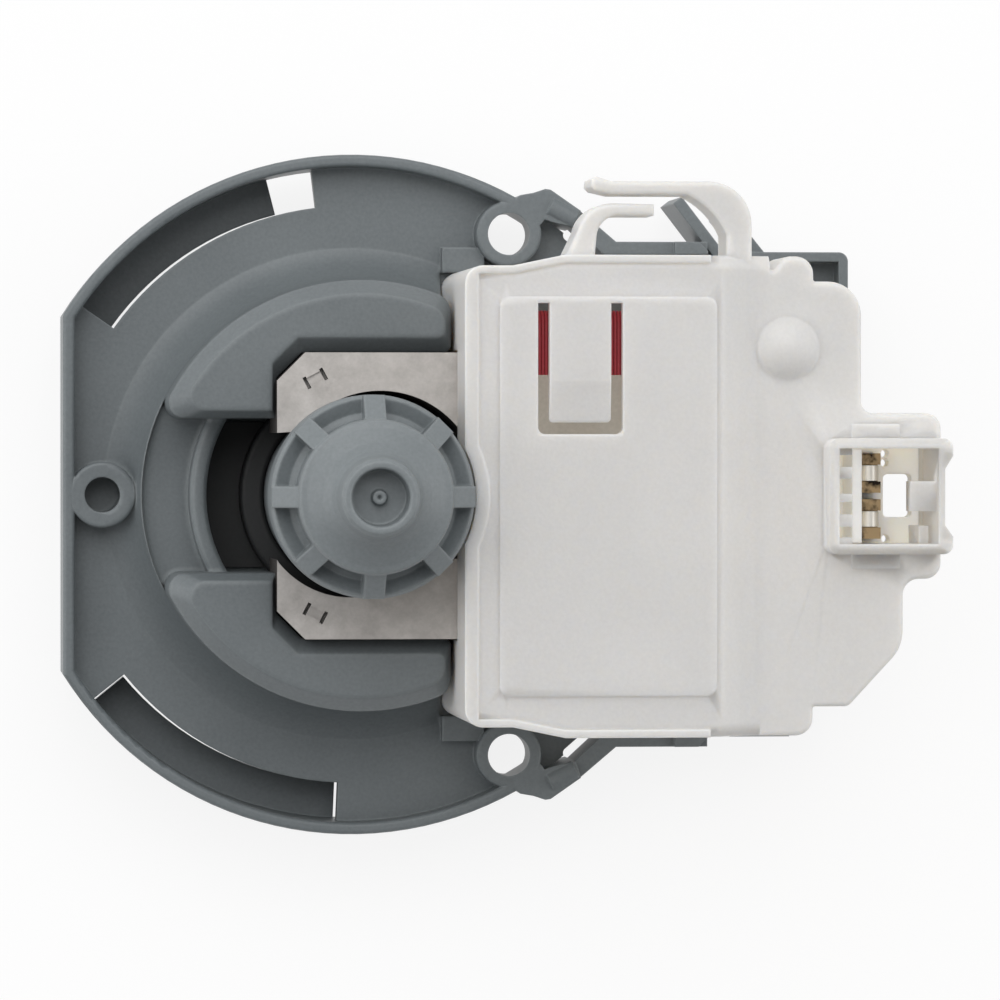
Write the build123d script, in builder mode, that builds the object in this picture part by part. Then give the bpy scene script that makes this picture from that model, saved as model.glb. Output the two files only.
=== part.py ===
"""Dishwasher drain pump: a synchronous motor with a wet rotor on a bayonet mounting plate.

Millimetres. +Z runs along the shaft from the impeller to the rear end of the motor, and +X points from
the shaft to the connector. The origin is on the shaft axis, at the front end of the spigot.
"""

from build123d import *
from math import cos, radians, sin, sqrt
import os

os.makedirs("parts", exist_ok=True)

# Mounting plate, flange
spigot_radius = 31.0
spigot_wall = 2.0
spigot_length = 11.5
flange_radius = 43.4
flange_thickness = 2.5
flat_distance = 36.9
rim_width = 1.5
rim_height = 4.0
skirt_depth = 6.5
rim_round = 0.5

# Mounting plate, bayonet slots: where each starts, how far it runs and how much is open, in degrees
slots = ((96.9, 48.1, 7.5), (218.4, 49.1, 0.8), (337.6, 48.4, 8.4))
slot_inner_radius = 37.0
ledge_gap = 0.25
ledge_thickness = 2.0

# Mounting plate, screw bosses
boss_radius = 4.2
boss_round = 0.4
boss_length = 6.5
screw_hole_radius = 2.7
screw_boss_distance = 38.9
screw_boss_angle = 59.0
pilot_boss_distance = 31.9
pilot_hole_radius = 2.25
pilot_hole_depth = 5.3

# Mounting plate, raised ring round the stator
mound_foot_radius = 31.5
mound_hollow_radius = 28.9
mound_hollow_height = 1.9
mound_radius = 27.0
mound_height = 6.6
band_radius = 26.7
band_height = 5.5
ridge_radius = 21.1
ridge_height = 11.0
ridge_round = 0.5
recess_radius = 19.0
recess_floor_height = 2.0
seat_margin = 1.0
mound_end = 11.4
coring_inner_radius = 21.6
coring_outer_radius = 26.4
coring_depth = 6.0
coring_half_angle = 108
coring_rib = 1.2
coring_rib_pitch = 18

# Mounting plate, shoulders that wrap the stator's legs
core_seat_height = 8.0
shoulder_end = 11.2
shoulder_foot = 9.7
shoulder_drop = 2.0
shoulder_slope_height = 2.2
shoulder_outer_slope = 1.8
shoulder_inner_slope = 1.9
shoulder_tip_round = 2.0
shoulder_inner_round = 1.0
shoulder_end_round = 2.6

# Mounting plate, tray under the motor
tray_start = 24.0
tray_end = 63.8
tray_half_width = 31.1
tray_floor_half_width = 30.3
tray_wall = 1.2
tray_wall_start = 48.5
tray_rib = 1.5
tray_rib_depth = 3.5
tray_rib_spacing = 15.0
tray_corner = 1.2
tray_notch_start = 56.2
tray_notch_half_width = 26.3
corner_pad_right = 17.0
corner_pad_reach = 3.2
corner_pad_height = 2.5

# Mounting plate, spring arms and fins: plan points of the lug that carries an arm, ends of each fin, ends
# of the slot beside an arm and plan points of the gap in the rim there
arm_lug = ((20.0, 37.0), (21.5, 38.3), (23.2, 38.6), (24.7, 39.1), (25.4, 39.0), (29.3, 36.3), (28.6, 34.2), (25.5, 34.9))
arm_bend = 33.9
arm_end = 45.7
arm_outer = 32.4
arm_width = 1.6
arm_front = 8.0
arm_drop = 0.8
catch_length = 4.3
catch_bevel = 1.2
barrel_radius = 1.3
barrel_start = (25.3, 36.9)
barrel_finish = (28.6, 35.3)
fins = (((42.0, 37.8), (47.7, 30.4)), ((48.4, 36.0), (52.9, 30.4)))
fin_thickness = 1.4
arm_slot = ((28.1, 33.3), (32.6, 29.4))
arm_slot_width = 1.4
rim_gap = ((23.4, 30.0), (24.0, 34.4), (25.2, 35.9), (28.2, 34.4), (33.0, 30.0))
fin_front = 2.0
fin_drop = 2.0

# Stator core
core_stack = 16.0
core_left = 10.5
core_right = 48.0
core_half_width = 17.7
leg_width = 10.0
yoke_width = 10.0
leg_chamfer = 3.2
bore_radius = 11.9
bore_step = 1.7
bore_step_start = 30
bore_step_span = 45
core_clearance = 0.2
dimple_length = 2.8
dimple_width = 1.1
dimple_depth = 0.4
dimple_tilt = 30
dimple_place = (-6.1, 14.7)

# Rotor can
can_radius = 11.5
can_wall = 1.1
can_ring_radius = 12.5
can_ring_start = 7.0
can_ring_slope = 1.5
can_edge_drop = 0.8
can_edge_width = 0.4
can_flange_radius = 18.0
can_flange_thickness = 2.0
can_overhang = 15.0
can_rib_width = 2.6
can_ribs = 8
can_rib_root = 1.2
can_rib_rise = 1.4
can_rib_bevel = 0.8
can_rib_top = 1.6
dome_radius = 9.5
dome_height = 6.0
dome_round = 1.0
nose_radius = 4.7
nose_inner_radius = 3.5
nose_round = 0.4
nose_flare = ((1.9, 1.2), (0.9, 2.2), (0.4, 3.4))
nose_height = 7.0
nose_recess_depth = 3.5
pip_radius = 1.05
pip_height = 1.1
pip_taper = 0.25
pip_hole_radius = 0.35
rear_seat_radius = 7.9
rear_seat_depth = 7.0
shaft_end_room = 3.0
seal_width = 3.0
seal_height = 5.0
seal_round = 0.6
fit_gap = 0.06

# Bearings
shaft_radius = 1.5
running_clearance = 0.04
bearing_radius = 3.5
bearing_length = 6.0
front_holder_radius = 5.8
holder_length = 5.5
front_plate_thickness = 2.0
front_plate_hub_wall = 1.6
front_plate_ring_wall = 1.5
front_plate_ring_height = 2.5
shaft_hole_gap = 0.5
drain_hole_radius = 1.0
drain_hole_circle = 8.1
drain_holes = 4

# Rotor
magnet_radius = 9.8
magnet_inner_radius = 4.0
magnet_length = 21.0
hub_flange_thickness = 0.9
hub_flange_radius = 9.0
hub_end_radius = 4.6
thrust_gap = 0.3
washer_thickness = 0.7
washer_radius = 3.3
shaft_front_gap = 0.5
shaft_rear_gap = 1.4

# Impeller and its lost-motion drive
impeller_radius = 20.5
impeller_disc = 1.6
impeller_gap = 0.9
impeller_front = 1.2
vane_count = 6
vane_thickness = 1.5
vane_bevel = 2.0
impeller_hub_radius = 5.8
chamber_radius = 4.4
chamber_back_wall = 2.2
cap_thickness = 1.2
dog_radius = 2.6
dog_gap = 0.2
lug_span = 60
play_clearance = 5

# Spigot seal
o_ring_section = 2.6
seal_groove_depth = 0.6
seal_groove_length = 2.8

# Bobbins, windings and the strip over them
bobbin_start = 14.7
bobbin_length = 23.0
bobbin_wall = 0.9
bobbin_gap = 0.15
bobbin_flange = 1.2
flange_reach = 6.6
flange_rise = 5.8
ear_length = 6.0
ear_width = 6.0
ear_gap = 0.15
winding_build = 5.2
winding_round = 1.5
strip_half_width = 15.0
strip_thickness = 0.25
strip_margin = 0.6

# Coil cover
cover_left = 11.6
cover_right = 49.7
cover_half_width = 29.75
cover_neck_half_width = 28.4
cover_neck_end = 17.5
cover_shoulder = 24.0
cover_wall = 1.5
cover_rise = 11.0
cover_round = 1.8
cover_corner = 1.2
cover_neck_corner = 2.6
cover_bend = 8.0
cover_can_gap = 0.5
leg_slot_gap = 0.4
cover_step = 2.4
slope_start = 43.6
slope_end = 47.6
slope_run_in = 4.0
slope_round = 5.0
panel_left = 15.9
panel_right = 42.8
panel_half_width = 24.6
panel_height = 0.4
panel_round = 1.2
window_left = 20.6
window_right = 31.1
window_top = 23.8
window_bottom = 7.65
window_slit = 1.45
tongue_bend = 14.2
tongue_drop = 1.0
bump_x = 52.0
bump_y = 18.25
bump_radius = 4.1
bump_height = 1.9
bump_sphere = (bump_radius**2 + bump_height**2) / (2 * bump_height)

# Terminal end of the cover: plan points, each with the radius of its corner
terminal_plan = (
    (48.5, 28.0, 0.0),
    (50.2, 28.0, 0.6),
    (51.6, 29.7, 1.6),
    (55.2, 29.7, 2.2),
    (55.2, 26.6, 0.3),
    (61.2, 26.6, 4.2),
    (61.2, 10.3, 1.5),
    (71.2, 10.3, 2.0),
    (71.2, -10.3, 2.0),
    (66.45, -10.3, 2.0),
    (66.45, -18.7, 5.0),
    (59.6, -26.1, 1.2),
    (55.15, -26.1, 0.3),
    (55.15, -29.7, 2.2),
    (48.5, -29.7, 0.0),
)
terminal_skirt = 12.6
terminal_wall = 1.3
terminal_edge = 0.6

# Connector shell
shell_left = 56.4
shell_right = 71.8
shell_half_width = 7.15
shell_wall = 1.25
shell_end_wall = 1.8
shell_rise = 5.4
shell_depth = 12.0
shell_round = 1.2
shell_edge = 0.4
end_recess_depth = 1.0
end_recess = ((0, 5.0), (1.0, 3.4), (1.0, -3.6), (0, -5.0))
comb_length = 1.7
comb_ribs = ((5.9, 1.6), (2.9, 1.4), (-0.2, 1.0), (-3.0, 1.5), (-5.9, 1.6))
comb_drop = 1.0
latch_left = 66.8
latch_half_width = 1.85
latch_drop = 2.0
latch_height = 3.5
key_left = 68.15
key_thickness = 1.2
key_reach = 2.2
key_drop = 4.0
pad_left = 59.8
pad_right = 65.7
pad_width = 1.8
pad_rise = 1.8

# Terminal block and contacts
block_left = 50.4
block_right = 69.4
block_half_width = 8.4
block_floor = 3.0
block_wall_left = 59.9
block_wall_rise = 7.4
block_wall_half_width = 5.8
bridge_left = 40.5
bridge_half_width = 9.0
bridge_gap = 0.2
hole_left = 64.9
hole_right = 68.5
hole_half_width = 2.7
hole_round = 0.6
peg_hole_radius = 0.5
peg_holes = ((65.1, 5.25), (65.1, 4.1), (65.2, -5.4))
contact_left = 61.1
contact_thickness = 2.5
contact_width = 4.9
contact_offset = 2.85
contact_rise = 6.5
contact_root = 2.0
contact_gap = 0.05
contact_slot_width = 2.1
contact_slot_depth = 2.35
pin_radius = 1.15
pin_length = 1.9

# Wire hooks on the side of the cover: plan points, where an arc is a start, a middle and an end
hook_depth = 8.0
hook_root = 29.0
hook_round = 0.5
long_hook_back = ((47.5, 33.8), (45.9, 37.4), (42.2, 38.95))
long_hook_tip = ((30.0, 38.95), (28.2, 39.5), (27.5, 39.2), (27.4, 38.3), (27.9, 37.8), (30.1, 37.3))
long_hook_inside = ((39.4, 37.3), (42.2, 35.4), (44.3, 32.4))
short_hook_back = ((25.8, 32.7), (27.4, 35.3), (30.0, 36.2))
short_hook_tip = ((35.3, 36.1), (35.3, 34.7))
short_hook_inside = ((31.0, 34.7), (29.0, 33.9), (28.2, 32.3))
short_hook_feet = (24.0, 27.9)

# Heights along the shaft axis
flange_front = spigot_length
flange_rear = flange_front + flange_thickness
rim_rear = flange_rear + rim_height
skirt_front = flange_front - skirt_depth
recess_floor = flange_rear + recess_floor_height
core_front = flange_rear + core_seat_height
core_rear = core_front + core_stack
shoulder_rear = core_rear - shoulder_drop
can_front = flange_front
can_seat = can_front + can_flange_thickness
can_rear = core_rear + can_overhang
dome_rear = can_rear + dome_height
nose_rear = dome_rear + nose_height
rear_seat_front = can_rear - 2 * can_wall
rear_seat_rear = rear_seat_front + rear_seat_depth
plate_front = can_front - front_plate_thickness
front_bearing_rear = can_front + bearing_length
hub_front = front_bearing_rear + thrust_gap + washer_thickness
hub_rear = rear_seat_front - thrust_gap - washer_thickness
magnet_front = (core_front + core_rear - magnet_length) / 2
magnet_rear = magnet_front + magnet_length
impeller_rear = plate_front - impeller_gap
disc_front = impeller_rear - impeller_disc
chamber_rear = impeller_rear - chamber_back_wall
chamber_front = impeller_front + cap_thickness
winding_rear = core_rear + winding_build
cover_face = core_rear + cover_rise
terminal_face = cover_face - cover_step
terminal_front = terminal_face - terminal_skirt
shell_rear = terminal_face + shell_rise
block_rear = shell_rear - shell_depth

# Distances across the shaft axis
can_inner_radius = can_radius - can_wall
leg_inner = core_half_width - leg_width
leg_middle = core_half_width - leg_width / 2
rim_inner_radius = flange_radius - rim_width
bobbin_end = bobbin_start + bobbin_length
half_leg = leg_width / 2 + bobbin_gap
half_stack = core_stack / 2 + bobbin_gap
core_middle = (core_front + core_rear) / 2
shell_inner_left = shell_left + shell_wall
shell_inner_right = shell_right - shell_end_wall
shell_inner_half_width = shell_half_width - shell_wall
comb_right = shell_inner_left + comb_length


def ring_sector(inner_radius, outer_radius, start, span):
    """A flat sector of a ring about the shaft axis."""
    with BuildSketch(mode=Mode.PRIVATE) as sector:
        with BuildLine():
            outer = CenterArc((0, 0), outer_radius, start, span)
            inner = CenterArc((0, 0), inner_radius, start, span)
            Line(outer @ 0, inner @ 0)
            Line(outer @ 1, inner @ 1)
        make_face()
    return sector.sketch


def flange_outline(inset):
    """The flange's round outline with its flat on the left, drawn in by inset."""
    with BuildSketch(mode=Mode.PRIVATE) as outline:
        Circle(flange_radius - inset)
        with Locations((inset - flat_distance, 0)):
            Rectangle(
                flange_radius, 2 * flange_radius, align=(Align.MAX, Align.CENTER), mode=Mode.SUBTRACT
            )
    return outline.sketch


def turned(points):
    """A solid of revolution about the shaft axis, from (radius, height) points."""
    with BuildPart(mode=Mode.PRIVATE) as solid:
        with BuildSketch(Plane.XZ):
            with BuildLine():
                Polyline(*points, close=True)
            make_face()
        revolve(axis=Axis.Z)
    return solid.part


def finish(piece, name):
    """Names a finished piece and writes it."""
    piece.part.label = name
    export_step(piece.part, f"parts/{name}.step")


def shoulder_outline(outer_inset, inner_inset):
    """Plan of the upper shoulder, which wraps the end and the side of a stator leg."""
    reach = mound_radius - outer_inset
    foot = shoulder_foot + inner_inset / 2
    end = shoulder_end - inner_inset / 2
    side = core_half_width + core_clearance + inner_inset
    left = -core_left - core_clearance - inner_inset / 3
    first = (-sqrt(reach**2 - foot**2), foot)
    last = (end, sqrt(reach**2 - end**2))
    with BuildSketch(mode=Mode.PRIVATE) as outline:
        with BuildLine():
            ThreePointArc(first, (-reach * sin(radians(25)), reach * cos(radians(25))), last)
            Polyline(
                last, (end, side), (left + leg_chamfer, side), (left, side - leg_chamfer), (left, foot), first
            )
        make_face()
        for corner, rounding in (
            (first, shoulder_tip_round),
            ((end, side), shoulder_inner_round),
            (last, shoulder_end_round),
        ):
            fillet(outline.vertices().sort_by_distance(corner)[0], rounding)
    return outline.sketch


# Mounting plate, upper half of what is the same on both sides: leg seat, shoulder and spring arm
with BuildPart() as plate_side:
    with BuildSketch(Plane.XY.offset(flange_rear)):
        with Locations((-core_left - core_clearance, leg_inner)):
            Rectangle(
                core_left + core_clearance + mound_end, leg_width + core_clearance, align=Align.MIN
            )
    extrude(amount=core_seat_height)
    with BuildSketch(Plane.XY.offset(flange_rear)):
        add(shoulder_outline(0, 0))
    extrude(amount=shoulder_rear - shoulder_slope_height - flange_rear)
    with BuildSketch(Plane.XY.offset(shoulder_rear - shoulder_slope_height)):
        add(shoulder_outline(0, 0))
    with BuildSketch(Plane.XY.offset(shoulder_rear)):
        add(shoulder_outline(shoulder_outer_slope, shoulder_inner_slope))
    loft(ruled=True)
    # The lug on the rim, then the arm with its catch
    with BuildSketch(Plane.XY.offset(skirt_front)):
        with BuildLine():
            Polyline(*arm_lug, close=True)
        make_face()
    extrude(amount=rim_rear - skirt_front)
    with BuildSketch(Plane.XY.offset(arm_front)):
        with BuildLine():
            Polyline(
                arm_lug[5],
                (arm_bend, arm_outer),
                (arm_end, arm_outer),
                (arm_end, arm_outer - arm_width),
                (arm_bend - arm_width, arm_outer - arm_width),
                arm_lug[6],
                arm_lug[7],
                close=True,
            )
        make_face()
    extrude(amount=rim_rear - arm_drop - arm_front)
    with BuildSketch(Plane.XY.offset(arm_front)) as catch_plan:
        with Locations((arm_end, arm_outer)):
            Rectangle(catch_length, arm_width, align=Align.MAX)
        chamfer(catch_plan.vertices().sort_by(Axis.X)[2:].sort_by(Axis.Y)[-1], catch_bevel)
    extrude(amount=rim_rear - arm_front)
    with BuildSketch(
        Plane(
            origin=(*barrel_start, rim_rear - barrel_radius / 2),
            z_dir=Vector(*barrel_finish) - Vector(*barrel_start),
        )
    ):
        Circle(barrel_radius)
    extrude(amount=(Vector(*barrel_finish) - Vector(*barrel_start)).length)
    # A low pad beside the cover's corner
    with BuildSketch(Plane.XY.offset(flange_rear)):
        with Locations((cover_left, cover_neck_half_width)):
            Rectangle(corner_pad_right - cover_left, corner_pad_reach, align=Align.MIN)
    extrude(amount=corner_pad_height)

# Mounting plate, one screw boss on the axis
with BuildPart() as screw_boss:
    with BuildSketch(Plane.XY.offset(rim_rear - boss_length)):
        Circle(boss_radius)
    extrude(amount=boss_length)
    fillet(screw_boss.faces().sort_by(Axis.Z)[-1].edges(), boss_round)

# Mounting plate: a moulded flange with a spigot, bayonet slots, screw bosses and a tray
with BuildPart() as mounting_plate:
    with BuildSketch(Plane.XY.offset(skirt_front)):
        add(flange_outline(0))
        add(flange_outline(rim_width), mode=Mode.SUBTRACT)
    extrude(amount=rim_rear - skirt_front)
    fillet(mounting_plate.faces().sort_by(Axis.Z)[-1].edges(), rim_round)
    with BuildSketch(Plane.XY.offset(flange_rear)):
        with Locations((tray_start, 0)):
            Rectangle(flange_radius, 2 * tray_floor_half_width, align=(Align.MIN, Align.CENTER))
        for side in (1, -1):
            with BuildLine():
                Polyline(*[(x, side * y) for x, y in rim_gap], close=True)
            make_face()
    extrude(amount=rim_height, mode=Mode.SUBTRACT)
    with BuildSketch(Plane.XY.offset(flange_front)):
        add(flange_outline(rim_width / 2))
        with Locations((tray_start, 0)):
            Rectangle(
                tray_end - tray_start, 2 * tray_floor_half_width, align=(Align.MIN, Align.CENTER)
            )
        for start, span, mouth in slots:
            add(ring_sector(slot_inner_radius, rim_inner_radius, start, span), mode=Mode.SUBTRACT)
    extrude(amount=flange_thickness)

    # The spigot that enters the sump, with the seal's groove at its root
    with BuildSketch():
        Circle(spigot_radius)
        Circle(spigot_radius - spigot_wall, mode=Mode.SUBTRACT)
    extrude(amount=flange_front - seal_groove_length)
    with BuildSketch(Plane.XY.offset(flange_front - seal_groove_length)):
        Circle(spigot_radius - seal_groove_depth)
        Circle(spigot_radius - spigot_wall, mode=Mode.SUBTRACT)
    extrude(amount=seal_groove_length)

    # A ledge under each bayonet slot, with a stop wall at its closed end
    for start, span, mouth in slots:
        with BuildSketch(Plane.XY.offset(skirt_front)):
            add(
                ring_sector(
                    slot_inner_radius + ledge_gap, flange_radius - rim_width / 2, start + mouth, span - mouth
                )
            )
        extrude(amount=ledge_thickness)

    # Raised ring round the stator, with a hollow flank, a sunk band and a ridge beside the recess
    with BuildSketch(Plane.XZ):
        with BuildLine():
            ThreePointArc(
                (mound_foot_radius, flange_rear),
                (mound_hollow_radius, flange_rear + mound_hollow_height),
                (mound_radius, flange_rear + mound_height),
            )
            Polyline(
                (mound_radius, flange_rear + mound_height),
                (band_radius, flange_rear + band_height),
                (ridge_radius, flange_rear + band_height),
                (ridge_radius, flange_rear + ridge_height - ridge_round),
                (ridge_radius - ridge_round, flange_rear + ridge_height),
                (recess_radius + ridge_round, flange_rear + ridge_height),
                (recess_radius, flange_rear + ridge_height - ridge_round),
                (recess_radius, flange_front),
                (mound_foot_radius, flange_front),
                (mound_foot_radius, flange_rear),
            )
        make_face()
    revolve(axis=Axis.Z)
    add(plate_side.part)
    add(mirror(plate_side.part, about=Plane.XZ))
    slot_run = Vector(*arm_slot[1]) - Vector(*arm_slot[0])
    with BuildPart(mode=Mode.PRIVATE) as slot_room:
        with BuildSketch(Plane(origin=(*arm_slot[0], skirt_front), x_dir=slot_run)):
            with Locations((slot_run.length / 2, 0)):
                SlotCenterToCenter(slot_run.length, arm_slot_width)
        extrude(amount=rim_rear - skirt_front)
    add(slot_room.part, mode=Mode.SUBTRACT)
    add(mirror(slot_room.part, about=Plane.XZ), mode=Mode.SUBTRACT)

    # What is raised ends beside the cover, and the recess leaves room for the can and its seal
    with BuildSketch(Plane.XY.offset(flange_rear)):
        with Locations((mound_end, 0)):
            Rectangle(
                mound_foot_radius, 2 * cover_neck_half_width, align=(Align.MIN, Align.CENTER)
            )
    extrude(amount=shoulder_rear - flange_rear, mode=Mode.SUBTRACT)
    with BuildSketch(Plane.XY.offset(flange_front)) as recess_plan:
        Circle(recess_radius + ridge_round)
        with Locations((mound_end, 0)):
            Rectangle(
                mound_foot_radius, 2 * mound_foot_radius, align=(Align.MIN, Align.CENTER), mode=Mode.SUBTRACT
            )
        Circle(can_radius + seal_width + seat_margin)
    extrude(amount=recess_floor - flange_front)
    with BuildSketch(Plane.XY.offset(recess_floor)):
        Circle(can_radius + seal_width + core_clearance)
    extrude(amount=core_front - recess_floor, mode=Mode.SUBTRACT)
    with BuildSketch(Plane.XY.offset(flange_front)):
        Circle(can_radius + fit_gap)
    extrude(amount=recess_floor - flange_front, mode=Mode.SUBTRACT)
    with BuildSketch(Plane.XY.offset(flange_front)):
        Circle(can_flange_radius + fit_gap)
    extrude(amount=can_flange_thickness, mode=Mode.SUBTRACT)

    # Room for the stator's legs
    with BuildSketch(Plane.XY.offset(core_front)) as leg_room_plan:
        with Locations((-core_left - core_clearance, 0)):
            Rectangle(
                core_left + core_clearance + mound_foot_radius,
                2 * (core_half_width + core_clearance),
                align=(Align.MIN, Align.CENTER),
            )
        chamfer(leg_room_plan.vertices().sort_by(Axis.X)[:2], leg_chamfer)
    extrude(amount=core_stack, mode=Mode.SUBTRACT)

    # The raised ring is cored from the front, and ribs cross the groove
    with BuildSketch(Plane.XY.offset(flange_front)):
        add(
            ring_sector(
                coring_inner_radius, coring_outer_radius, 180 - coring_half_angle, 2 * coring_half_angle
            )
        )
        for angle in range(coring_rib_pitch - coring_half_angle, coring_half_angle, coring_rib_pitch):
            with PolarLocations((coring_inner_radius + coring_outer_radius) / 2, 1, 180 + angle):
                Rectangle(
                    2 * (coring_outer_radius - coring_inner_radius), coring_rib, mode=Mode.SUBTRACT
                )
    extrude(amount=coring_depth, mode=Mode.SUBTRACT)

    # Screw bosses: one with a blind pilot hole, two with a hole right through
    with Locations((-pilot_boss_distance, 0)):
        add(screw_boss.part)
    with PolarLocations(screw_boss_distance, 2, -screw_boss_angle, 4 * screw_boss_angle):
        add(screw_boss.part)
    with BuildSketch(Plane.XY.offset(rim_rear)):
        with Locations((-pilot_boss_distance, 0)):
            Circle(pilot_hole_radius)
    extrude(amount=-pilot_hole_depth, mode=Mode.SUBTRACT)
    with BuildSketch(Plane.XY.offset(rim_rear)):
        with PolarLocations(screw_boss_distance, 2, -screw_boss_angle, 4 * screw_boss_angle):
            Circle(screw_hole_radius)
    extrude(amount=-boss_length, mode=Mode.SUBTRACT)

    # Tray walls, end lip and stiffening ribs
    with BuildSketch(Plane.XY.offset(flange_front)) as tray_plan:
        with Locations((tray_wall_start, 0)):
            Rectangle(
                tray_end - tray_wall_start, 2 * tray_half_width, align=(Align.MIN, Align.CENTER)
            )
        fillet(tray_plan.vertices().sort_by(Axis.X)[2:], tray_corner)
        with Locations((tray_wall_start, 0)):
            Rectangle(
                tray_end - tray_wall - tray_wall_start,
                2 * (tray_half_width - tray_wall),
                align=(Align.MIN, Align.CENTER),
                mode=Mode.SUBTRACT,
            )
    extrude(amount=rim_rear - flange_front)
    with BuildSketch(Plane.XY.offset(flange_front)):
        with Locations((tray_end, 0)):
            Rectangle(tray_rib, 2 * tray_half_width, align=(Align.MAX, Align.CENTER))
        with GridLocations(0, tray_rib_spacing, 1, 5):
            with Locations((flange_radius - rim_width / 2, 0)):
                Rectangle(
                    tray_end - flange_radius, tray_rib, align=(Align.MIN, Align.CENTER)
                )
    extrude(amount=-tray_rib_depth)
    with BuildSketch(Plane.XY.offset(flange_front - tray_rib_depth)):
        with Locations((tray_notch_start, -tray_notch_half_width)):
            Rectangle(tray_end - tray_notch_start, tray_half_width, align=(Align.MIN, Align.MAX))
    extrude(amount=tray_rib_depth + flange_thickness + rim_height, mode=Mode.SUBTRACT)

    # Two slanting fins stand out beside the tray on one side
    for fin_start, fin_finish in fins:
        fin_run = Vector(*fin_finish) - Vector(*fin_start)
        with BuildSketch(Plane(origin=(*fin_start, fin_front), x_dir=fin_run)):
            Rectangle(fin_run.length, fin_thickness, align=(Align.MIN, Align.CENTER))
        extrude(amount=rim_rear - fin_drop - fin_front)
finish(mounting_plate, "mounting_plate")

# Rotor can, one rib of the dome
with BuildPart() as can_rib:
    with BuildSketch(Plane.XZ):
        with BuildLine():
            Polyline(
                (dome_radius - can_rib_bevel, can_rear - can_rib_root),
                (can_ring_radius - fit_gap, can_rear - can_rib_root),
                (can_ring_radius - fit_gap, can_rear + can_rib_rise),
                (can_ring_radius - can_rib_bevel, can_rear + can_rib_rise + can_rib_bevel),
                (dome_radius - fit_gap, dome_rear - can_rib_top),
                (dome_radius - can_rib_bevel, dome_rear - can_rib_top),
                close=True,
            )
        make_face()
    extrude(amount=can_rib_width / 2, both=True)

# Rotor can: a closed plastic tube, flanged in front, with a ring at the shoulder and a ribbed dome
with BuildPart() as rotor_can:
    add(
        turned(
            [
                (can_inner_radius, can_front),
                (can_flange_radius, can_front),
                (can_flange_radius, can_seat),
                (can_radius, can_seat),
                (can_radius, can_rear - can_ring_start - can_ring_slope),
                (can_ring_radius, can_rear - can_ring_start),
                (can_ring_radius, can_rear - can_edge_drop),
                (can_ring_radius - can_edge_width, can_rear),
                (dome_radius + can_edge_drop, can_rear - can_edge_drop),
                (dome_radius, can_rear - can_edge_width),
                (dome_radius, dome_rear - dome_round),
                (dome_radius - dome_round / 4, dome_rear - dome_round / 4),
                (dome_radius - dome_round, dome_rear),
                *[(nose_radius + out, dome_rear + up) for out, up in nose_flare],
                (nose_radius, nose_rear - nose_round),
                (nose_radius - nose_round, nose_rear),
                (nose_inner_radius + nose_round / 2, nose_rear),
                (nose_inner_radius, nose_rear - nose_round / 2),
                (nose_inner_radius - nose_round / 2, nose_rear - nose_recess_depth),
                (pip_radius, nose_rear - nose_recess_depth),
                (pip_radius - pip_taper, nose_rear - nose_recess_depth + pip_height),
                (pip_hole_radius, nose_rear - nose_recess_depth + pip_height),
                (0, nose_rear - nose_recess_depth + pip_height / 3),
                (0, rear_seat_rear + shaft_end_room),
                (2 * shaft_radius, rear_seat_rear + shaft_end_room),
                (2 * shaft_radius, rear_seat_rear),
                (rear_seat_radius, rear_seat_rear),
                (rear_seat_radius, rear_seat_front),
                (can_inner_radius, rear_seat_front),
            ]
        )
    )
    with PolarLocations(0, can_ribs):
        add(can_rib.part)
finish(rotor_can, "rotor_can")

# Can seal: a rubber ring round the can, on the floor of the recess
with BuildPart() as can_seal:
    with BuildSketch(Plane.XY.offset(recess_floor)):
        Circle(can_radius + seal_width)
        Circle(can_radius + fit_gap, mode=Mode.SUBTRACT)
    extrude(amount=seal_height)
    fillet(can_seal.faces().sort_by(Axis.Z)[-1].edges(), seal_round)
finish(can_seal, "can_seal")

# Stator core: a U of laminations, with the stepped bore between its legs
with BuildPart() as stator_core:
    with BuildSketch(Plane.XY.offset(core_front)) as core_plan:
        with Locations((-core_left, 0)):
            Rectangle(core_left + core_right, 2 * core_half_width, align=(Align.MIN, Align.CENTER))
        chamfer(core_plan.vertices().sort_by(Axis.X)[:2], leg_chamfer)
        with Locations((-core_left, 0)):
            Rectangle(
                core_left + core_right - yoke_width,
                2 * leg_inner,
                align=(Align.MIN, Align.CENTER),
                mode=Mode.SUBTRACT,
            )
        Circle(bore_radius, mode=Mode.SUBTRACT)
        for start in (bore_step_start, bore_step_start + 180):
            add(
                ring_sector(leg_inner, bore_radius + bore_step, start, bore_step_span),
                mode=Mode.SUBTRACT,
            )
    extrude(amount=core_stack)
    with BuildSketch(Plane.XY.offset(core_rear)):
        for side in (1, -1):
            with Locations(Location((dimple_place[0], side * dimple_place[1]), side * dimple_tilt)):
                Rectangle(dimple_length, dimple_width)
    extrude(amount=-dimple_depth, mode=Mode.SUBTRACT)
finish(stator_core, "stator_core")

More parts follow.
